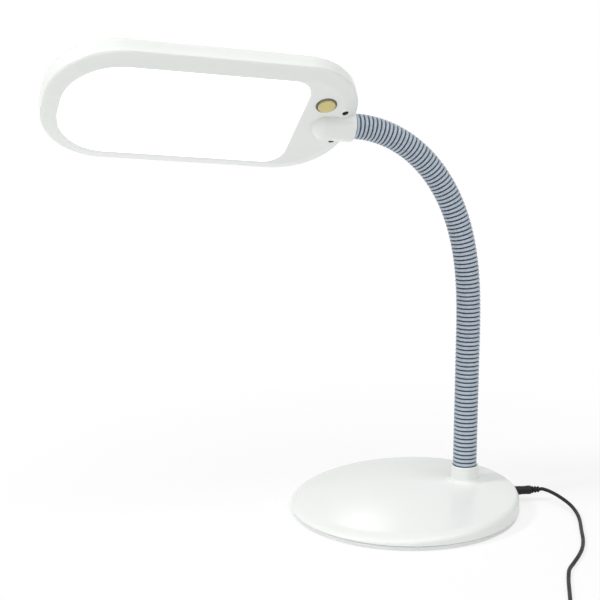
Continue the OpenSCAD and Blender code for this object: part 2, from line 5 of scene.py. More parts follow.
import bmesh
import bpy
import numpy as np
from mathutils import Matrix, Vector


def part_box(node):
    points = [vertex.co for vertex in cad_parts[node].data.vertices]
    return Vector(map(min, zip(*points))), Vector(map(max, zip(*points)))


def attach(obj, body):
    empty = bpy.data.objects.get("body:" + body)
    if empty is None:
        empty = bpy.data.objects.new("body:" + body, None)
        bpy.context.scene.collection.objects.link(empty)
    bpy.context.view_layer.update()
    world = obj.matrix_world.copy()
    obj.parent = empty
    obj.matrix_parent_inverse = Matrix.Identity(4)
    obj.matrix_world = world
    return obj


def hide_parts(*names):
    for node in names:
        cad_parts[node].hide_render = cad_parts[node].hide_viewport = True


MM = 0.001

# Camera fitted to the photograph: focal length in pixels of a 600-pixel frame, distance and angles
FRAME_PIXELS = 600
FOCAL_PIXELS = 1412
CAMERA_DISTANCE = 1433 * MM
CAMERA_HEIGHT_ANGLE = math.radians(20.6)
CAMERA_PITCH = math.radians(12.25)
CAMERA_PAN = math.radians(-4.41)
LAMP_YAW = math.radians(22.5)
CAMERA_SHIFT = np.array([-1.8, -1.0, 0]) * MM
SENSOR = 36

# Base, in the part's own sizes
BASE_R = 114 * MM
CROWN_H = 22.4 * MM
CROWN_R = 850 * MM
TOP_TILT = math.radians(3)
SIDE_R = 7 * MM
EDGE_CRISP = 5 * MM
EDGE_BROAD = 26 * MM
EDGE_POWER = 1.5
BASE_WALL = 2.2 * MM
SEAM_Z = 4.7 * MM
SEAM_GAP = 0.4 * MM
SEAM_LIP = 0.5 * MM
PLATE_R = 113.4 * MM
PAD_T = 0.8 * MM
COLLAR_R = 13.75 * MM
COLLAR_BASE_R = 16 * MM
DOME_H = CROWN_H - SEAM_Z

# Neck
LINKS = 12
STRAIGHT_LINKS = 4
LINK_LEN = 33.4 * MM
LINK_RIBS = 8
SWEEP = math.radians(84.4)
EASE = 1.8
SLEEVE_R = 12 * MM
SLEEVE_BORE = 9 * MM
SLEEVE_STOP = 0.5 * MM
NECK_END = 3.5 * MM
GROOVE_DEPTH = 1.3 * MM

# Head, in its own frame: the end wall at 0, +X towards the neck, the lit face downwards
HEAD_ROLL = math.radians(43)
HEAD_LEN = 286 * MM
HEAD_W = 146 * MM
FREE_R = 65 * MM
NECK_R = 60 * MM
FACE_Z = -3 * MM
BEZEL_H = 5.8 * MM
CREASE_Z = FACE_Z + BEZEL_H
HEAD_WALL = 2 * MM
SHELL_H = 12.4 * MM
CROWN_TOP = CREASE_Z + SHELL_H + 2.8 * MM
ROOF_TILT = math.radians(0.6)
ROOF_FROM = CREASE_Z + 1 * MM
BEVEL_W = 12 * MM
RIM = 14.5 * MM
PANEL_END = 53 * MM
PANEL_R = 19 * MM
BARREL_R = 15 * MM
BARREL_LEN = 37 * MM
BARREL_OUT = 1.5 * MM
PIVOT_R = 9 * MM
BUTTON_AT = (-34 * MM, -30 * MM)
BUTTON_R = 8.2 * MM
BUTTON_PROUD = 3 * MM
RING_R = 9.9 * MM
SCREW_AT = (-12.5 * MM, 20.6 * MM)
SCREW_HOLE_R = 2.9 * MM

# Cord, with its route in millimetres as the part has it
CORD_D = 3.6 * MM
JACK_ANGLE = math.radians(-9)
JACK_Z = 12 * MM
JACK_HOLE_R = 5.2 * MM
JACK_HOLE_FROM = 105 * MM
JACK_HOLE_LEN = 20 * MM
PLUG_FACE = 114.4 * MM
PLUG_LEN = 17 * MM
RELIEF_LEN = 9.1 * MM
CORD_ROUTE = [
    (148, -29, 10.5), (153, -40, 8), (155.5, -55, 5.5), (154, -71, 3.2), (148, -89, 2), (137, -112, 2),
    (126, -135, 2), (115, -153, 2), (103, -168, 2), (91, -181, 2), (80, -193, 2), (72, -206, 2),
    (65, -219, 2), (58, -233, 2), (50, -249, 2), (42, -265, 2), (35, -281, 2), (28, -297, 2),
    (22, -311, 2.4), (16, -325, 3.2)]
COIL_LAYERS = 4
LAYER_TURNS = 2
COIL_R = 20 * MM
COIL_PITCH = 4.2 * MM
CLIMB_TURNS = 0.5
TAIL_LEN = 34 * MM
ADAPTER_LEN = 66 * MM
ADAPTER_W = 44 * MM
ADAPTER_H = 28 * MM
GLAND_LEN = 8 * MM
CORD_INSIDE = 18 * MM
PIN_LEN = 19 * MM
PIN_R = 2 * MM
PIN_GAP = 19 * MM

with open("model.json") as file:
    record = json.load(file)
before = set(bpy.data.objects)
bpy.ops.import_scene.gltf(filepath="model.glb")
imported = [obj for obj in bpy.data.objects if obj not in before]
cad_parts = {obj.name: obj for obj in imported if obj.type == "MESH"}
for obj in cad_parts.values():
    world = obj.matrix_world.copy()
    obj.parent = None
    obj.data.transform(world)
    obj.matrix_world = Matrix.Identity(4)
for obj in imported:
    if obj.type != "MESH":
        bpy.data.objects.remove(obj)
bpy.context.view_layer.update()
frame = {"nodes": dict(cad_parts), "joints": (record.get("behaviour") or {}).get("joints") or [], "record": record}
nodes = frame["nodes"]
joints = {joint["name"]: joint for joint in frame["joints"]}
sleeve_low, sleeve_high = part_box("neck_sleeve_1")
NECK_FOOT = ((sleeve_low.x + sleeve_high.x) / 2, 0, sleeve_low.z)


# Camera

def turned(vector):
    """A direction of the camera's room, turned into the lamp's own frame about Z."""
    c, s = math.cos(LAMP_YAW), math.sin(LAMP_YAW)
    x, y, z = vector
    return np.array([c * x + s * y, c * y - s * x, z])


def make_camera():
    """Looks over the base from the fitted distance and height, panned and pitched as the photograph is."""
    ahead = turned((math.sin(CAMERA_PAN) * math.cos(CAMERA_PITCH),
                    math.cos(CAMERA_PAN) * math.cos(CAMERA_PITCH), -math.sin(CAMERA_PITCH)))
    right = turned((math.cos(CAMERA_PAN), -math.sin(CAMERA_PAN), 0))
    place = turned((0, -CAMERA_DISTANCE * math.cos(CAMERA_HEIGHT_ANGLE),
                    CAMERA_DISTANCE * math.sin(CAMERA_HEIGHT_ANGLE))) + CAMERA_SHIFT
    axes = np.column_stack([right, np.cross(right, ahead), -ahead])
    data = bpy.data.cameras.new("photo_camera")
    data.sensor_width = SENSOR
    data.lens = FOCAL_PIXELS * SENSOR / FRAME_PIXELS
    data.clip_end = 20
    camera = bpy.data.objects.new("photo_camera", data)
    camera.matrix_world = Matrix.Translation(place) @ Matrix(axes.tolist()).to_4x4()
    bpy.context.scene.collection.objects.link(camera)
    bpy.context.scene.camera = camera


# Mesh building

def grid_faces(rows, cols, wrap_rows, wrap_cols):
    """Quads between neighbouring points of a rows by cols grid, closed on itself where asked."""
    i = np.arange(rows if wrap_rows else rows - 1)[:, None]
    j = np.arange(cols if wrap_cols else cols - 1)[None, :]
    ni, nj = (i + 1) % rows, (j + 1) % cols
    quads = np.stack([i * cols + j, i * cols + nj, ni * cols + nj, ni * cols + j], axis=-1)
    return quads.reshape(-1, 4).tolist()


def piece_from(name, points, faces, sharp=30):
    """A new object of these points and faces, welded, facing outwards and smooth up to the sharp angle."""
    mesh = bpy.data.meshes.new(name)
    mesh.from_pydata(np.asarray(points).reshape(-1, 3).tolist(), [], faces)
    work = bmesh.new()
    work.from_mesh(mesh)
    bmesh.ops.remove_doubles(work, verts=work.verts, dist=1e-7)
    loose = [edge for edge in work.edges if not edge.link_faces]
    bmesh.ops.delete(work, geom=loose, context="EDGES")
    bmesh.ops.recalc_face_normals(work, faces=work.faces)
    if work.calc_volume(signed=True) < 0:
        bmesh.ops.reverse_faces(work, faces=work.faces)
    work.to_mesh(mesh)
    work.free()
    piece = bpy.data.objects.new(name, mesh)
    bpy.context.scene.collection.objects.link(piece)
    smooth(piece, sharp)
    return piece


def smooth(piece, sharp=30):
    """Smooth shading, with edges sharper than the angle in degrees kept crisp."""
    mesh = piece.data
    mesh.polygons.foreach_set("use_smooth", np.ones(len(mesh.polygons), dtype=bool))
    mesh.set_sharp_from_angle(angle=math.radians(sharp))


def sheet_piece(name, points, wrap_rows=False, wrap_cols=True, caps=(), sharp=30):
    """A grid of points as a surface; caps names the rows that are closed by one flat face."""
    rows, cols = points.shape[:2]
    faces = grid_faces(rows, cols, wrap_rows, wrap_cols)
    faces += [[row * cols + j for j in range(cols)] for row in caps]
    return piece_from(name, points, faces, sharp)


def arc(centre, radius, start, stop, count):
    """Points on a circle from one angle to another, in degrees."""
    t = np.radians(np.linspace(start, stop, count))
    return np.column_stack([centre[0] + radius * np.cos(t), centre[1] + radius * np.sin(t)])


def turned_piece(name, profile, origin, axis, closed=False, sides=96, sharp=30):
    """A profile of (radius, height) points spun about an axis through origin."""
    profile = np.asarray(profile, float)
    along = np.asarray(axis, float) / np.linalg.norm(axis)
    helper = np.array([0, 0, 1.0]) if abs(along[2]) < 0.9 else np.array([1.0, 0, 0])
    side = np.cross(helper, along)
    side /= np.linalg.norm(side)
    other = np.cross(along, side)
    turn = np.linspace(0, 2 * math.pi, sides, endpoint=False)
    ring = np.cos(turn)[:, None] * side + np.sin(turn)[:, None] * other
    points = np.asarray(origin) + profile[:, 0, None, None] * ring + profile[:, 1, None, None] * along
    return sheet_piece(name, points, wrap_rows=closed, sharp=sharp)


def cut(piece, cutters, sharp=30):
    """Takes the cutters' shapes out of a piece and removes them."""
    for cutter in cutters:
        change = piece.modifiers.new("cut", "BOOLEAN")
        change.object = cutter
        change.solver = "EXACT"
        bpy.context.view_layer.objects.active = piece
        bpy.ops.object.modifier_apply(modifier=change.name)
        bpy.data.objects.remove(cutter)
    smooth(piece, sharp)


def cylinder_cutter(radius, start, axis, length):
    """A plain closed cylinder for cutting a hole."""
    profile = [(0, 0), (radius, 0), (radius, length), (0, length)]
    return turned_piece("cutter", profile, start, axis, sides=64)


def finish_piece(piece, body, material, replaced=()):
    """Gives a piece its material and the body it rides on, and hides the nodes it stands for."""
    piece.data.materials.clear()
    piece.data.materials.append(material)
    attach(piece, body)
    if replaced:
        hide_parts(*replaced)
    return piece


# Materials

def shader_of(material):
    """The material's own Principled shader."""
    return material.node_tree.nodes["Principled BSDF"]


def new_material(name, colour, roughness, **sockets):
    """A Principled material with its constants set on the shader's own sockets."""
    material = bpy.data.materials.new(name)
    material.use_nodes = True
    shader = shader_of(material)
    shader.inputs["Base Color"].default_value = (*colour, 1)
    shader.inputs["Roughness"].default_value = roughness
    for socket, value in sockets.items():
        shader.inputs[socket.replace("_", " ")].default_value = value
    return material


def add(material, kind, **settings):
    """Adds a node of a kind and sets its properties."""
    node = material.node_tree.nodes.new(kind)
    for key, value in settings.items():
        setattr(node, key, value)
    return node


def noise(material, scale, detail=3):
    """Noise on object coordinates, with its scale in cells to the metre."""
    place = add(material, "ShaderNodeTexCoord")
    texture = add(material, "ShaderNodeTexNoise")
    texture.inputs["Scale"].default_value = scale
    texture.inputs["Detail"].default_value = detail
    material.node_tree.links.new(place.outputs["Object"], texture.inputs["Vector"])
    return texture.outputs["Fac"]


def ramp(material, source, low, high, start=0.3, stop=0.7):
    """Maps a grey value to a colour between low and high."""
    node = add(material, "ShaderNodeValToRGB")
    first, last = node.color_ramp.elements
    first.position, first.color = start, (*low, 1)
    last.position, last.color = stop, (*high, 1)
    material.node_tree.links.new(source, node.inputs["Fac"])
    return node.outputs["Color"]


def link(material, source, socket):
    """Feeds a node's output to a socket of the shader."""
    material.node_tree.links.new(source, shader_of(material).inputs[socket])


def bump(material, source, strength, distance):
    """Lets a grey value raise the surface by up to the distance in metres."""
    node = add(material, "ShaderNodeBump")
    node.inputs["Strength"].default_value = strength
    node.inputs["Distance"].default_value = distance
    material.node_tree.links.new(source, node.inputs["Height"])
    link(material, node.outputs["Normal"], "Normal")


def grey(value):
    """A grey value as a colour."""
    return (value, value, value)


# Patches of drifting colour and of uneven gloss on plastic, in cells to the metre, and its grain's strength
DRIFT_CELLS = 18
GLOSS_CELLS = 70
GRAIN_STRENGTH = 0.25


def moulded(name, colour, roughness, spread, grain, depth, drift=0.02, **sockets):
    """Moulded plastic: the colour drifts by a share, the gloss is uneven by the spread, and a fine grain has
    its size in cells to the metre and its depth in metres."""
    material = new_material(name, colour, roughness, **sockets)
    low = [c * (1 - drift) for c in colour]
    high = [min(1, c * (1 + drift)) for c in colour]
    link(material, ramp(material, noise(material, DRIFT_CELLS), low, high), "Base Color")
    rough = ramp(material, noise(material, GLOSS_CELLS), grey(roughness - spread), grey(roughness + spread))
    link(material, rough, "Roughness")
    bump(material, noise(material, grain, 2), GRAIN_STRENGTH, depth)
    return material


def white_gloss():
    """Glossy white moulding with a faint cool cast."""
    return moulded("white_gloss", (0.81, 0.83, 0.81), 0.24, spread=0.02, grain=900, depth=0.000004,
                   drift=0.004, Specular_IOR_Level=0.35)


def panel_light():
    """Opal diffuser that glows evenly, with a faint grain."""
    material = new_material("panel_light", (0.92, 0.93, 0.92), 0.4, Emission_Strength=0.75)
    glow = ramp(material, noise(material, 400), (0.97, 0.98, 0.97), (1, 1, 1))
    link(material, glow, "Emission Color")
    return material


def neck_rubber():
    """Satin blue-grey rubber; painted shade darkens the colour to navy between the ribs, by the groove attribute.
    """
    material = new_material("neck_rubber", (0.3, 0.36, 0.43), 0.45)
    tree = material.node_tree
    groove = add(material, "ShaderNodeAttribute", attribute_name="groove")
    painted_groove_shade = add(material, "ShaderNodeMix", data_type="RGBA")
    dust = ramp(material, noise(material, 260), (0.4, 0.465, 0.545), (0.47, 0.545, 0.63))
    tree.links.new(groove.outputs["Fac"], painted_groove_shade.inputs["Factor"])
    tree.links.new(dust, painted_groove_shade.inputs["A"])
    # painted shade: the dark navy painted into the grooves between the ribs
    painted_groove_shade.inputs["B"].default_value = (0.012, 0.02, 0.036, 1)
    link(material, painted_groove_shade.outputs["Result"], "Base Color")
    link(material, ramp(material, noise(material, 500), grey(0.38), grey(0.55)), "Roughness")
    bump(material, noise(material, 2500, 2), 0.2, 0.00004)
    return material


def amber():
    """Clear golden push button over a bright reflector."""
    return moulded("amber", (0.62, 0.52, 0.2), 0.16, spread=0.04, grain=900, depth=0.00002, drift=0.12,
                   Coat_Weight=0.6)


def metal(name, colour, roughness):
    """Bare metal with an uneven polish and a fine grain."""
    material = new_material(name, colour, roughness, Metallic=1)
    rough = ramp(material, noise(material, 900), grey(roughness - 0.08), grey(roughness + 0.08))
    link(material, rough, "Roughness")
    bump(material, noise(material, 1800, 2), 0.15, 0.00002)
    return material


# Neck

def neck_line(distance):
    """Centre and heading of the neck at distances from the collar. The heading changes evenly along each link
    and grows as a power of the share of the bent stretch, up to a straight end; the centre is the running sum
    of its direction."""
    bent = np.clip((np.arange(LINKS + 1) - STRAIGHT_LINKS) / (LINKS - STRAIGHT_LINKS), 0, None)
    ends = SWEEP * bent ** EASE
    fine = np.linspace(0, LINKS * LINK_LEN + NECK_END, 8001)
    angle = np.interp(fine / LINK_LEN, np.arange(LINKS + 1), ends)
    step = fine[1]
    x = NECK_FOOT[0] - np.concatenate([[0], np.cumsum(np.sin((angle[1:] + angle[:-1]) / 2)) * step])
    z = NECK_FOOT[2] + np.concatenate([[0], np.cumsum(np.cos((angle[1:] + angle[:-1]) / 2)) * step])
    distance = np.asarray(distance, float)
    centre = np.stack([np.interp(distance, fine, x), 0 * distance, np.interp(distance, fine, z)], axis=-1)
    return centre, np.interp(distance, fine, angle)


# Share of one rib's pitch, and how much of the groove's depth is left there
RIB_SHAPE = np.array([(0.0, 1.0), (0.1, 0.97), (0.15, 0.62), (0.19, 0.3), (0.26, 0.1), (0.37, 0.02),
                      (0.5, 0.0), (0.63, 0.02), (0.74, 0.1), (0.81, 0.3), (0.85, 0.62), (0.9, 0.97)])
# Distances of a ball's rings past its joint, and how far the ball lies below the groove's floor
BALL_ROWS = np.linspace(0.4, 2.8, 7) * MM
BALL_PLAY = 0.02 * MM


def sleeve_piece(number, start, stop, ball):
    """A stretch of the ribbed sleeve: rings of the rib shape along the neck's line, then part of a ball about
    the next joint, which fills the groove there when the neck bends, then the bore back again. The attribute
    groove is 0 on the ribs and 1 on the groove's floor, and sets how far painted shade darkens the colour."""
    ribs = round((stop - start) / (LINK_LEN / LINK_RIBS))
    pitch = (stop - start) / ribs
    share = np.append((np.arange(ribs)[:, None] + RIB_SHAPE[:, 0]).ravel(), ribs)
    depth = np.append(np.tile(RIB_SHAPE[:, 1], ribs), 1.0)
    past = BALL_ROWS if ball else np.empty(0)
    inner = np.linspace(stop + past.max(initial=0), start, ribs + 1)
    distance = np.concatenate([start + pitch * share, stop + past, inner])
    ball_r = SLEEVE_R - GROOVE_DEPTH - BALL_PLAY
    radius = np.concatenate([SLEEVE_R - GROOVE_DEPTH * depth, np.sqrt(ball_r ** 2 - past ** 2),
                             np.full(ribs + 1, SLEEVE_BORE)])
    centre, heading = neck_line(distance)
    turn = np.linspace(0, 2 * math.pi, 64, endpoint=False)
    side = np.stack([np.cos(heading), 0 * heading, np.sin(heading)], axis=-1)
    ring = side[:, None] * np.cos(turn)[None, :, None] + np.array([0, 1, 0]) * np.sin(turn)[None, :, None]
    points = centre[:, None] + radius[:, None, None] * ring
    piece = sheet_piece(f"neck_sleeve_skin_{number}", points, wrap_rows=True, sharp=60)
    # painted shade: share of darkening, rising into each groove and full on the ball and the bore
    groove = np.concatenate([np.clip(depth * 1.25 - 0.2, 0, 1), np.ones(len(past) + ribs + 1)])
    layer = piece.data.attributes.new("groove", "FLOAT", "POINT")
    layer.data.foreach_set("value", np.repeat(groove, len(turn)).astype(np.float32))
    return piece


def make_neck():
    """One skin for each link, from joint to joint, which rides on the link."""
    material = neck_rubber()
    bodies = ["base"] + [f"link_{k}" for k in range(2, LINKS + 1)]
    for k, body in enumerate(bodies, 1):
        stop = LINKS * LINK_LEN + NECK_END - SLEEVE_STOP if k == LINKS else k * LINK_LEN
        piece = sleeve_piece(k, (k - 1) * LINK_LEN, stop, ball=k < LINKS)
        finish_piece(piece, body, material, [f"neck_sleeve_{k}"])


# Head

def head_place(points):
    """Carries points of the head's own frame to where the neck ends, pitched with the neck and rolled."""
    back = np.array(joints["head_swivel"]["axis"], float)
    up = np.array([-back[2], 0, back[0]])
    across = np.array([0, 1.0, 0])
    c, s = math.cos(HEAD_ROLL), math.sin(HEAD_ROLL)
    axes = np.stack([back, c * across - s * up, s * across + c * up])
    inside = np.asarray(points, float) - np.array([NECK_END + BARREL_OUT, 0, 0])
    return np.array(joints["head_swivel"]["pos_m"]) + inside @ axes


def head_axis(direction):
    """A direction of the head's own frame, turned to the part's frame."""
    return head_place(direction) - head_place((0, 0, 0))


def rounded_loop(x0, x1, half, r0, r1, corner=20, side=14):
    """Outline with rounded ends as centre, radius and outward normal, so that a point drawn in by d lies at
    centre + (radius - d) * normal."""
    corners = [((x1 - r1, half - r1), r1, 0), ((x0 + r0, half - r0), r0, 90),
               ((x0 + r0, r0 - half), r0, 180), ((x1 - r1, r1 - half), r1, 270)]
    centre, radius, normal = [], [], []
    for (at, r, first), (to, r_next, _) in zip(corners, corners[1:] + corners[:1]):
        t = np.radians(np.linspace(first, first + 90, corner))
        centre.append(np.tile(at, (corner, 1)))
        radius.append(np.full(corner, r))
        normal.append(np.column_stack([np.cos(t), np.sin(t)]))
        share = np.linspace(0, 1, side + 2)[1:-1, None]
        centre.append(np.array(at) * (1 - share) + np.array(to) * share)
        radius.append((r * (1 - share) + r_next * share)[:, 0])
        normal.append(np.tile(normal[-1][-1], (side, 1)))
    return np.concatenate(centre), np.concatenate(radius), np.concatenate(normal)


HEAD_LOOP = rounded_loop(-HEAD_LEN, 0, HEAD_W / 2, FREE_R, NECK_R)
PANEL_LOOP = rounded_loop(-HEAD_LEN + RIM, -PANEL_END, HEAD_W / 2 - RIM, FREE_R - RIM, PANEL_R)


def drawn_in(loop, inset):
    """Points of an outline drawn in by an inset in millimetres."""
    centre, radius, normal = loop
    return centre + (radius - inset * MM)[:, None] * normal


def loop_rows(rows, tilt=0):
    """Rows of (loop, inset, height) in millimetres as points of the head. Above the crease they climb towards
    the free end by the tangent of the tilt."""
    points = []
    for loop, inset, height in rows:
        flat = drawn_in(loop, inset)
        rise = -flat[:, 0] * math.tan(tilt) if height * MM > ROOF_FROM else 0
        points.append(np.column_stack([flat, np.full(len(flat), height * MM) + rise]))
    return head_place(np.array(points))


def make_head_shell(material):
    """Upper shell: the head's outline carried up a wall, round the edge and over a low crown, with the same
    rows drawn in by the wall inside it."""
    foot, top, wall = CREASE_Z / MM, CROWN_TOP / MM, HEAD_WALL / MM
    edge_r, camber = 4.5, 0.7
    middle = NECK_R / MM - 2
    shoulder = top - camber
    edge = arc((edge_r, shoulder - edge_r), edge_r, 180, 92, 14)
    share = np.linspace(0.06, 1, 12)
    crown = np.column_stack([edge_r + share * (middle - edge_r), top - camber * (1 - share) ** 2])
    upper = np.vstack([[(0, foot + 4)], edge, crown])
    outer = np.vstack([[(0.7, foot + 0.25), (0.2, foot + 0.4), (0, foot + 0.9)], upper])
    inner = upper[::-1] + np.where(upper[::-1, :1] < middle - 5, [wall, -wall], [0, -wall])
    section = np.vstack([inner, [(wall, foot + 0.25)], outer])
    rows = [(HEAD_LOOP, inset, height) for inset, height in section]
    points = loop_rows(rows, ROOF_TILT)
    piece = sheet_piece("head_shell", points, caps=(0, len(rows) - 1), sharp=40)
    barrel = cylinder_cutter(BARREL_R + 0.3 * MM, head_place((BARREL_OUT - BARREL_LEN, 0, 0)),
                             head_axis((1, 0, 0)), BARREL_LEN * 1.2)
    cut(piece, [barrel], sharp=40)
    return finish_piece(piece, "head", material, ["head_cover"])


def make_head_frame(material):
    """Lower bezel: a soft slope from the crease to the face, the face in to the panel, and back inside."""
    foot, face, bevel, wall = CREASE_Z / MM, FACE_Z / MM, BEVEL_W / MM, HEAD_WALL / MM
    ledge = foot - 0.9
    slope = [(t * bevel, ledge - (ledge - face) * t ** 0.92) for t in np.linspace(0.03, 0.93, 9)]
    outer = [(0.5, foot), (0.1, foot - 0.2), (0, foot - 0.6)] + slope
    outer += [(bevel, face + 0.06), (bevel + 0.8, face)]
    lip = [(-0.75, face), (-0.4, face + 0.05), (-0.25, face + 0.3), (-0.25, face + 1.7)]
    inner = [(bevel + 0.6, face + 1.8), (bevel - 1, face + 2.2), (wall + 0.2, foot - 0.6), (wall, foot)]
    rows = [(HEAD_LOOP, inset, height) for inset, height in outer]
    rows += [(PANEL_LOOP, inset, height) for inset, height in lip]
    rows += [(HEAD_LOOP, inset, height) for inset, height in inner]
    piece = sheet_piece("head_frame", loop_rows(rows), wrap_rows=True, sharp=35)
    inwards = head_axis((0, 0, 1))
    depth = 6 * MM
    low = FACE_Z - 2 * MM
    cutters = [cylinder_cutter(RING_R, head_place((*BUTTON_AT, low)), inwards, depth)]
    for side in (-1, 1):
        spot = head_place((SCREW_AT[0], side * SCREW_AT[1], low))
        cutters.append(cylinder_cutter(SCREW_HOLE_R, spot, inwards, depth))
    cut(piece, cutters, sharp=35)
    return finish_piece(piece, "head", material, ["head_bezel"])


def make_barrel(material):
    """Swivel barrel spun about the neck's end: a round-edged mouth with its bore, a straight run, and a blunt
    end that is part of a sphere."""
    r, length, bore, lip = BARREL_R / MM, BARREL_LEN / MM, PIVOT_R / MM + 0.1, 1.6
    blunt, ball_r, ball_back = length - 6, 16.1, 5.8
    profile = arc((0, blunt - ball_back), ball_r, 90, 22, 14).tolist() + [(r, blunt - 0.3)]
    profile += arc((r - lip, lip), lip, 0, -90, 8).tolist()
    profile += [(bore + 0.2, 0), (bore, 0.4), (bore, blunt), (0, blunt)]
    mouth = head_place((BARREL_OUT, 0, 0))
    piece = turned_piece("swivel_barrel", np.array(profile) * MM, mouth, head_axis((-1, 0, 0)), sharp=18)
    return finish_piece(piece, "head", material)


def make_panel():
    """Diffuser: a flat plate with a softened edge."""
    face = FACE_Z / MM
    rows = [(0.1, face + 3), (0.05, face + 0.5), (0.12, face + 0.2), (0.4, face), (1.4, face - 0.05),
            (18, face - 0.1)]
    points = loop_rows([(PANEL_LOOP, inset, height) for inset, height in rows])
    piece = sheet_piece("light_panel", points, caps=(0, len(rows) - 1), sharp=50)
    return finish_piece(piece, "head", panel_light(), ["diffuser"])


def make_button():
    """Push button: a dark ring with a rounded lip, and a gently domed cap inside it."""
    out = head_axis((0, 0, -1))
    at = head_place((*BUTTON_AT, FACE_Z))
    outside, inside = RING_R / MM - 0.05, BUTTON_R / MM + 0.3
    lip = arc(((outside + inside) / 2, 0.35), (outside - inside) / 2 - 0.05, 20, 160, 8).tolist()
    ring = [(outside, -1.8), (outside, 0.35)] + lip + [(inside, 0.2), (inside, -1.8)]
    dark = moulded("graphite_ring", (0.14, 0.14, 0.135), 0.22, spread=0.05, grain=1200, depth=0.00002)
    piece = turned_piece("button_bezel", np.array(ring) * MM, at, out, closed=True)
    finish_piece(piece, "head", dark, ["button_ring"])
    r, proud = BUTTON_R / MM, BUTTON_PROUD / MM
    dome = [(q, proud - 0.7 * (q / r) ** 2) for q in np.linspace(0, r - 1, 8)]
    cap = dome + arc((r - 1, proud - 1.55), 1, 80, 0, 6).tolist() + [(r, -2.9), (2, -3), (2, -8.4), (0, -8.4)]
    piece = turned_piece("button_lens", np.array(cap) * MM, at, out)
    finish_piece(piece, "button", amber(), ["button_cap"])


# Base

def tilted(points):
    """Carries points of the base's tilted frame, which stands on the seam's middle, to the part's frame."""
    c, s = math.cos(TOP_TILT), math.sin(TOP_TILT)
    turn = np.array([[c, 0, s], [0, 1, 0], [-s, 0, c]])
    return points @ turn + np.array([0, 0, SEAM_Z])


def crown_height(out):
    """Height of the crown's arc at a distance from its axis."""
    return DOME_H - CROWN_R + np.sqrt(CROWN_R ** 2 - out ** 2)


def base_rows(inset, foot, side_rows=36, crown_rows=30, sides=192):
    """Rows of the base's surface, drawn in by inset, from the level height foot to the middle of the top.
    Each row runs round the tilted axis. Up the side a point moves by u: straight up to u = 0, then over part
    of an ellipse, which is crisp on the thick side and broad on the thin one and ends where its slope is the
    crown's, and then in along the crown's arc."""
    turn = np.linspace(0, 2 * math.pi, sides, endpoint=False)
    wide = EDGE_CRISP + (EDGE_BROAD - EDGE_CRISP) * ((1 - np.cos(turn)) / 2) ** EDGE_POWER
    level = (foot - SEAM_Z - BASE_R * np.cos(turn) * math.sin(TOP_TILT)) / math.cos(TOP_TILT)
    high = np.minimum(SIDE_R, crown_height(BASE_R - wide) - level)
    end = np.arctan2(high, wide * np.tan(np.arcsin((BASE_R - wide) / CROWN_R)))
    join = BASE_R - wide * (1 - np.cos(end))
    middle = crown_height(join) - high * np.sin(end)
    start = (level - middle) / high
    u = start + np.linspace(0, 1, side_rows)[:, None] * (end - start)
    angle = np.maximum(u, 0)
    out = BASE_R - wide * (1 - np.cos(angle)) - inset * np.cos(angle)
    rise = middle + high * np.where(u < 0, u, np.sin(angle)) - inset * np.sin(angle)
    share = np.linspace(1, 0, crown_rows)[1:, None]
    out = np.vstack([out, share * join])
    rise = np.vstack([rise, crown_height(share * join) - inset])
    return tilted(np.stack([out * np.cos(turn), out * np.sin(turn), rise], axis=-1))


def make_base(material):
    """Base cover: its outer and inner surface, joined at the seam by a rounded lip, and the plate below."""
    foot = SEAM_Z + SEAM_GAP
    outer, inner = base_rows(0, foot + SEAM_LIP), base_rows(BASE_WALL, foot)
    edge = outer[0]
    drawn = edge * (1 - SEAM_LIP / BASE_R)
    lip = np.stack([edge - np.array([0, 0, SEAM_LIP / 2]), drawn - np.array([0, 0, SEAM_LIP])])
    points = np.concatenate([lip[::-1], outer, inner[::-1]])
    piece = sheet_piece("base_shell", points, wrap_rows=True)
    out = (math.cos(JACK_ANGLE), math.sin(JACK_ANGLE), 0)
    start = np.array([JACK_HOLE_FROM * out[0], JACK_HOLE_FROM * out[1], JACK_Z])
    cut(piece, [cylinder_cutter(JACK_HOLE_R, start, out, JACK_HOLE_LEN)])
    finish_piece(piece, "base", material, ["base_cover"])
    r, low, top = PLATE_R / MM, PAD_T / MM, SEAM_Z / MM
    profile = [(0, low), (r - 2, low)] + arc((r - 1.6, low + 1.2), 1.2, -80, -10, 6).tolist()
    profile += [(r, top - 0.6), (r - 0.2, top - 0.15), (r - 0.6, top), (0, top)]
    plate = moulded("base_plate", (0.74, 0.765, 0.75), 0.4, spread=0.03, grain=900, depth=0.00002, drift=0.01)
    piece = turned_piece("base_foot", np.array(profile) * MM, (0, 0, 0), (0, 0, 1), sides=192)
    finish_piece(piece, "base", plate, ["base_plate"])


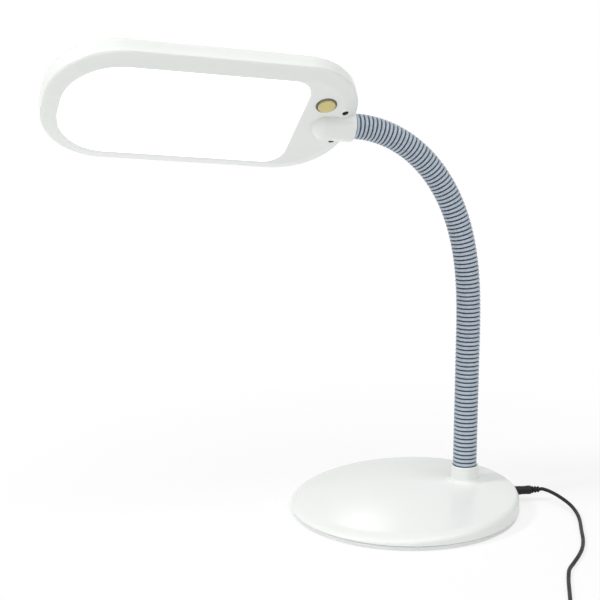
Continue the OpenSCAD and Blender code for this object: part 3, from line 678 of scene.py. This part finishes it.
def make_collar(material):
    """Collar: a slightly conical tube with a round lip, whose foot runs out in a wide hollow curve. Near the
    foot the rings follow the dome's own height, so that the two run into each other."""
    centre = tilted(np.array([0, 0, DOME_H - CROWN_R]))
    turn = np.linspace(0, 2 * math.pi, 96, endpoint=False)

    def dome(x, y):
        """Height of the crown's sphere over a place."""
        return centre[2] + np.sqrt(CROWN_R ** 2 - (x - centre[0]) ** 2 - (y - centre[1]) ** 2)

    foot = dome(NECK_FOOT[0], 0)
    r, foot_r, bore = COLLAR_R / MM, COLLAR_BASE_R / MM - 0.6, SLEEVE_R / MM + 0.1
    top, soft, sunk, lip = (NECK_FOOT[2] - foot) / MM, 5, -1.5, 0.7
    flare = arc((foot_r + soft - 0.9, soft - 0.04), soft, 270, 184, 14).tolist()
    profile = [(bore, sunk), (flare[0][0], sunk)] + flare + [(r, top - 2 * lip)]
    profile += arc((r - lip - 0.05, top - lip), lip, 0, 90, 6).tolist() + [(bore, top), (bore, top - 0.5)]
    out, rise = np.array(profile).T[:, :, None] * MM
    x, y = NECK_FOOT[0] + out * np.cos(turn), out * np.sin(turn)
    follow = np.clip(1 - rise / (soft * MM), 0, 1)
    points = np.stack([x, y, foot + rise + follow * (dome(x, y) - foot)], axis=-1)
    piece = sheet_piece("base_collar", points, wrap_rows=True, sharp=35)
    finish_piece(piece, "base", material)


# Cord

def smooth_route(points, steps):
    """Catmull-Rom curve through the points, with its end points repeated, at even steps of each span."""
    p = np.vstack([points[:1], points, points[-1:]])
    a, b, c, d = (p[i:len(p) - 3 + i, None] for i in range(4))
    t = np.linspace(0, 1, steps, endpoint=False)[None, :, None]
    square = (2 * a - 5 * b + 4 * c - d) * t ** 2
    cube = (3 * b - a - 3 * c + d) * t ** 3
    spans = 0.5 * (2 * b + (c - a) * t + square + cube)
    return np.vstack([spans.reshape(-1, 3), points[-1:]])


def ease(x):
    """Rises from 0 to 1 with level ends: three times the square less twice the cube."""
    x = np.clip(x, 0, 1)
    return x * x * (3 - 2 * x)


def coil_points(start, angle):
    """Turns that wind in on even layers and out on odd ones, and climb a layer where the winding reverses."""
    turns = np.linspace(0, COIL_LAYERS * LAYER_TURNS, COIL_LAYERS * LAYER_TURNS * 48 + 1)
    layer = np.minimum(turns // LAYER_TURNS, COIL_LAYERS - 1)
    part = turns / LAYER_TURNS - layer
    span = LAYER_TURNS * COIL_PITCH
    out = COIL_R + span / 2
    radius = out - span * np.where(layer % 2 == 0, part, 1 - part)
    climbed = sum(ease((turns - j * LAYER_TURNS) / CLIMB_TURNS + 0.5) for j in range(1, COIL_LAYERS))
    middle = start + out * np.array([math.sin(angle), -math.cos(angle), 0])
    phase = angle + math.pi / 2 - 2 * math.pi * turns
    offset = np.column_stack([radius * np.cos(phase), radius * np.sin(phase), COIL_PITCH * climbed])
    return middle, middle + offset


def tube_points(line, radius, sides):
    """Rings about a line: across it and level, and square to both."""
    ahead = np.gradient(line, axis=0)
    ahead /= np.linalg.norm(ahead, axis=1)[:, None]
    across = np.cross([0, 0, 1], ahead)
    across /= np.linalg.norm(across, axis=1)[:, None]
    up = np.cross(ahead, across)
    turn = np.linspace(0, 2 * math.pi, sides, endpoint=False)
    ring = across[:, None] * np.cos(turn)[None, :, None] + up[:, None] * np.sin(turn)[None, :, None]
    return line[:, None] + radius * ring


def make_cord():
    """The lead from the plug along the table, round its coil and into the adapter, with the pieces on it."""
    rubber = moulded("cord_rubber", (0.012, 0.012, 0.013), 0.5, spread=0.08, grain=1500, depth=0.00003,
                     drift=0.2, Specular_IOR_Level=0.22)
    out = np.array([math.cos(JACK_ANGLE), math.sin(JACK_ANGLE), 0])
    leave = (PLUG_FACE + PLUG_LEN + RELIEF_LEN) * out + np.array([0, 0, JACK_Z])
    route = np.vstack([leave, leave + CORD_D * out, np.array(CORD_ROUTE) * MM])
    run = smooth_route(route, 6)
    way = route[-1] - route[-2]
    angle = math.atan2(way[1], way[0])
    way = np.array([math.cos(angle), math.sin(angle), 0])
    middle, coil = coil_points(run[-1] + CORD_D * way, angle)
    share = np.linspace(0, 1, 19)[1:, None]
    leaving = coil[-1] + CORD_D * way
    drop = leaving[2] - ADAPTER_H / 2
    tail = leaving + share * TAIL_LEN * way - np.array([0, 0, drop]) * ease((share * 6 - 1) / 4)
    inside = tail[-1] + np.linspace(0, 1, 7)[1:, None] * (GLAND_LEN + CORD_INSIDE) * way
    line = np.vstack([run, coil, leaving, tail, inside])
    cord = sheet_piece("power_cord", tube_points(line, CORD_D / 2, 14), caps=(0, len(line) - 1), sharp=60)
    finish_piece(cord, "base", rubber, ["cord_run", "cord_coil", "cord_tail"])
    pieces = [make_plug(out, rubber), make_tie(middle, angle)] + make_adapter(tail[-1], way)


def make_plug(out, rubber):
    """Moulded plug: a round-nosed grip, then strain-relief rings on a tapered stem, spun about its axis."""
    r, tip_r, tip_len, grip = 4.4, 2.6, 9, PLUG_LEN / MM
    end = grip + RELIEF_LEN / MM
    profile = [(0, -tip_len), (tip_r, -tip_len), (tip_r, 0)] + arc((r - 0.8, 0.8), 0.8, -90, 0, 6).tolist()
    profile += [(r, 6), (r - 0.2, 6.6), (r - 0.2, 12), (r, 12.6)]
    profile += arc((r - 1.2, grip - 1.2), 1.2, 0, 80, 6).tolist() + [(tip_r, grip + 0.2)]
    for ring in range(3):
        base, size = grip + 0.6 + ring * 3, 3.25 - 0.25 * ring
        profile += arc((size - 0.4, base + 0.9), 0.8, -60, 60, 6).tolist() + [(2.3, base + 2.1)]
    profile += [(CORD_D / MM / 2 + 0.05, end), (0, end)]
    at = PLUG_FACE * out + np.array([0, 0, JACK_Z])
    piece = turned_piece("power_plug", np.array(profile) * MM, at, out, sides=48, sharp=40)
    return finish_piece(piece, "base", rubber, ["dc_plug"])


def make_tie(middle, angle):
    """Cloth tape tie: a thin band round the coil's turns with rounded corners."""
    wide = (LAYER_TURNS * COIL_PITCH + CORD_D) / 2 + 0.4 * MM
    high = ((COIL_LAYERS - 1) * COIL_PITCH + CORD_D) / 2 + 0.4 * MM
    loop = rounded_loop(-wide, wide, high, 1.5 * MM, 1.5 * MM, corner=6, side=3)
    rise = (COIL_LAYERS - 1) * COIL_PITCH / 2
    across = np.array([math.sin(angle), -math.cos(angle), 0])
    along = np.array([math.cos(angle), math.sin(angle), 0])
    rows = []
    for inset, shift in ((-0.6, -4.2), (-0.7, -3.8), (-0.7, 3.8), (-0.6, 4.2), (0, 4.2), (0, -4.2)):
        flat = drawn_in(loop, inset)
        spot = middle + across * COIL_R + np.array([0, 0, rise]) + along * shift * MM
        rows.append(spot + flat[:, :1] * across + flat[:, 1:] * np.array([0, 0, 1]))
    cloth = moulded("tie_cloth", (0.02, 0.02, 0.021), 0.85, spread=0.1, grain=2600, depth=0.0001, drift=0.3)
    piece = sheet_piece("coil_tie", np.array(rows), wrap_rows=True, sharp=50)
    return finish_piece(piece, "base", cloth, ["cord_tie"])


def make_adapter(at, way):
    """Plug-in adapter: a block lofted from rounded outlines with a seam, a ribbed gland and two pins."""
    across = np.array([-way[1], way[0], 0])
    up = np.array([0, 0, 1.0])
    half_h = ADAPTER_H / 2
    loop = rounded_loop(-half_h, half_h, ADAPTER_W / 2, 5 * MM, 5 * MM, corner=8, side=4)
    length, round_r = ADAPTER_LEN / MM, 2.5
    seam = ((0, 0.62), (0.5, 0.625), (0.5, 0.635), (0, 0.64))
    rows = []
    ends = arc((round_r, round_r), round_r, 270, 180, 6)
    section = [(y, x) for x, y in ends]
    section += [(inset, length * share) for inset, share in seam]
    section += [(x, length - y) for x, y in ends[::-1]]
    for inset, shift in section:
        flat = drawn_in(loop, inset)
        rows.append(at + way * (GLAND_LEN + shift * MM) + flat[:, :1] * up + flat[:, 1:] * across)
    case = moulded("adapter_case", (0.022, 0.022, 0.024), 0.5, spread=0.08, grain=1500, depth=0.00006,
                   drift=0.2)
    body = sheet_piece("adapter_case", np.array(rows), caps=(0, len(rows) - 1), sharp=40)
    finish_piece(body, "base", case, ["adapter_body"])
    profile = [(0, 0), (CORD_D / MM / 2 + 0.05, 0)]
    for ring in range(3):
        wide, start = 2.5 + 0.3 * ring, 0.4 + 2.6 * ring
        profile += [(wide, start), (wide + 0.2, start + 1.5), (wide - 0.3, start + 2)]
    sunk = GLAND_LEN / MM + 0.5
    profile += [(3.5, sunk), (0, sunk)]
    gland = turned_piece("adapter_gland", np.array(profile) * MM, at, way, sides=40)
    finish_piece(gland, "base", case)
    plated = metal("plated_pins", (0.78, 0.76, 0.72), 0.22)
    r, tip = PIN_R / MM, PIN_LEN / MM
    pin = [(0, -1), (r, -1), (r, tip - r)] + arc((0, tip - r), r, 0, 90, 8).tolist()[1:]
    pins = []
    for side in (-1, 1):
        foot = at + way * (GLAND_LEN + ADAPTER_LEN) + across * side * PIN_GAP / 2
        piece = turned_piece(f"adapter_pin_{'ab'[side > 0]}", np.array(pin) * MM, foot, way, sides=32)
        pins.append(finish_piece(piece, "base", plated, ["adapter_pins"] if side > 0 else ()))
    return [body, gland] + pins


# Inner pieces, which keep their solids

def dress_solids():
    """Gives every solid that stays its own finish. The head's screws, which show in their holes, are painted
    near-black as shade in the holes.
    """
    finishes = {
        "pad": moulded("pad_foam", grey(0.05), 0.9, spread=0.05, grain=1800, depth=0.0002, drift=0.2),
        "ballast": metal("ballast_iron", (0.2, 0.2, 0.21), 0.6),
        "steel": metal("plain_steel", (0.55, 0.55, 0.56), 0.35),
        "circuit_board": moulded("board_green", (0.03, 0.17, 0.08), 0.4, spread=0.1, grain=1500,
                                 depth=0.00004, drift=0.2),
        "led": moulded("led_phosphor", (0.85, 0.7, 0.25), 0.5, spread=0.1, grain=2000, depth=0.00004,
                       drift=0.1),
        "dark_plastic": moulded("dark_plastic", (0.03, 0.03, 0.033), 0.45, spread=0.1, grain=1500,
                                depth=0.00004, drift=0.2),
    }
    # painted shade: near-black steel that stands in for the shade inside the head's screw holes
    hole_shade = metal("hole_shade_steel", (0.03, 0.03, 0.032), 0.5)
    for part in frame["record"]["subparts"]:
        if part["material_slot"] in finishes:
            mesh = nodes[part["node"]].data
            mesh.materials.clear()
            # painted shade: the screws that show in the head's holes get the near-black steel
            seen = part["node"] == "head_screws"
            mesh.materials.append(hole_shade if seen else finishes[part["material_slot"]])


# Room

def seen_rays(tree):
    """1 for rays from the camera, off glossy surfaces and through clear ones, and 0 for the rest."""
    path = tree.nodes.new("ShaderNodeLightPath")
    total = path.outputs["Is Camera Ray"]
    for name in ("Is Glossy Ray", "Is Transmission Ray"):
        join = tree.nodes.new("ShaderNodeMath")
        join.operation = "MAXIMUM"
        tree.links.new(total, join.inputs[0])
        tree.links.new(path.outputs[name], join.inputs[1])
        total = join.outputs["Value"]
    return total


def make_floor():
    """A wide pale floor that shows white away from the lamp and keeps its soft shadow near it."""
    size, near, far, shadow = 6, 0.2, 0.5, 0.3
    corners = [(-size, -size, 0), (size, -size, 0), (size, size, 0), (-size, size, 0)]
    floor = piece_from("floor", np.array(corners), [[0, 1, 2, 3]])
    material = new_material("pale_floor", grey(0.96), 0.8, Specular_IOR_Level=0.05)
    tree = material.node_tree
    place = add(material, "ShaderNodeTexCoord")
    distance = add(material, "ShaderNodeVectorMath", operation="LENGTH")
    white = add(material, "ShaderNodeMapRange")
    for socket, value in (("From Min", near), ("From Max", far), ("To Min", 1 - shadow), ("To Max", 1)):
        white.inputs[socket].default_value = value
    share = add(material, "ShaderNodeMath", operation="MULTIPLY")
    glow = add(material, "ShaderNodeEmission")
    blend = add(material, "ShaderNodeMixShader")
    output = tree.nodes["Material Output"]
    tree.links.new(place.outputs["Object"], distance.inputs[0])
    tree.links.new(distance.outputs["Value"], white.inputs["Value"])
    tree.links.new(white.outputs["Result"], share.inputs[0])
    tree.links.new(seen_rays(tree), share.inputs[1])
    tree.links.new(share.outputs["Value"], blend.inputs["Fac"])
    tree.links.new(shader_of(material).outputs["BSDF"], blend.inputs[1])
    tree.links.new(glow.outputs["Emission"], blend.inputs[2])
    tree.links.new(blend.outputs["Shader"], output.inputs["Surface"])
    floor.data.materials.append(material)


def make_world():
    """Even soft light, which the camera and reflections see as white."""
    dim, white = 0.42, 1
    world = bpy.data.worlds.new("studio")
    bpy.context.scene.world = world
    world.use_nodes = True
    tree = world.node_tree
    background = tree.nodes["Background"]
    background.inputs["Color"].default_value = (1, 1, 1, 1)
    strength = tree.nodes.new("ShaderNodeMix")
    strength.inputs["A"].default_value = dim
    strength.inputs["B"].default_value = white
    tree.links.new(seen_rays(tree), strength.inputs["Factor"])
    tree.links.new(strength.outputs["Result"], background.inputs["Strength"])


def facing(away):
    """Axes whose third points along away."""
    z = away / np.linalg.norm(away)
    x = np.cross([0, 0, 1.0], z)
    x /= np.linalg.norm(x)
    return np.column_stack([x, np.cross(z, x), z])


def area_light(name, place, target, size, power):
    """A round soft light at a place, turned towards its target."""
    data = bpy.data.lights.new(name, "AREA")
    data.shape = "DISK"
    data.size = size
    data.energy = power
    light = bpy.data.objects.new(name, data)
    away = np.array(place) - np.array(target)
    light.matrix_world = Matrix.Translation(place) @ Matrix(facing(away).tolist()).to_4x4()
    bpy.context.scene.collection.objects.link(light)


# Lights, all aimed at one place: azimuth seen from the camera (0 away, 90 right), height angle, size, power
LIGHT_TARGET = np.array([-0.05, 0, 0.2])
LIGHT_DISTANCE = 3.5
LIGHTS = {"key": (-115, 40, 0.6, 46), "side": (120, 55, 2.4, 26), "front": (180, 62, 2.0, 24),
          "low": (180, 8, 1.5, 9), "glint": (-8, 32, 0.25, 2)}


def make_lights():
    """A key from the left, a broad light from the right, two from the camera's side and a small one from
    beyond the lamp, all far enough away to light the head and the base alike."""
    for name, (azimuth, height, size, power) in LIGHTS.items():
        a, h = math.radians(azimuth), math.radians(height)
        ahead = turned((math.sin(a) * math.cos(h), math.cos(a) * math.cos(h), math.sin(h)))
        area_light(name, (LIGHT_TARGET + LIGHT_DISTANCE * ahead).tolist(), LIGHT_TARGET, size, power)


make_camera()
make_cord()
white = white_gloss()
make_base(white)
make_collar(white)
make_neck()
make_head_shell(white)
make_head_frame(white)
make_barrel(white)
make_panel()
make_button()
dress_solids()
make_floor()
make_world()
make_lights()
bpy.context.scene.view_settings.view_transform = "Standard"
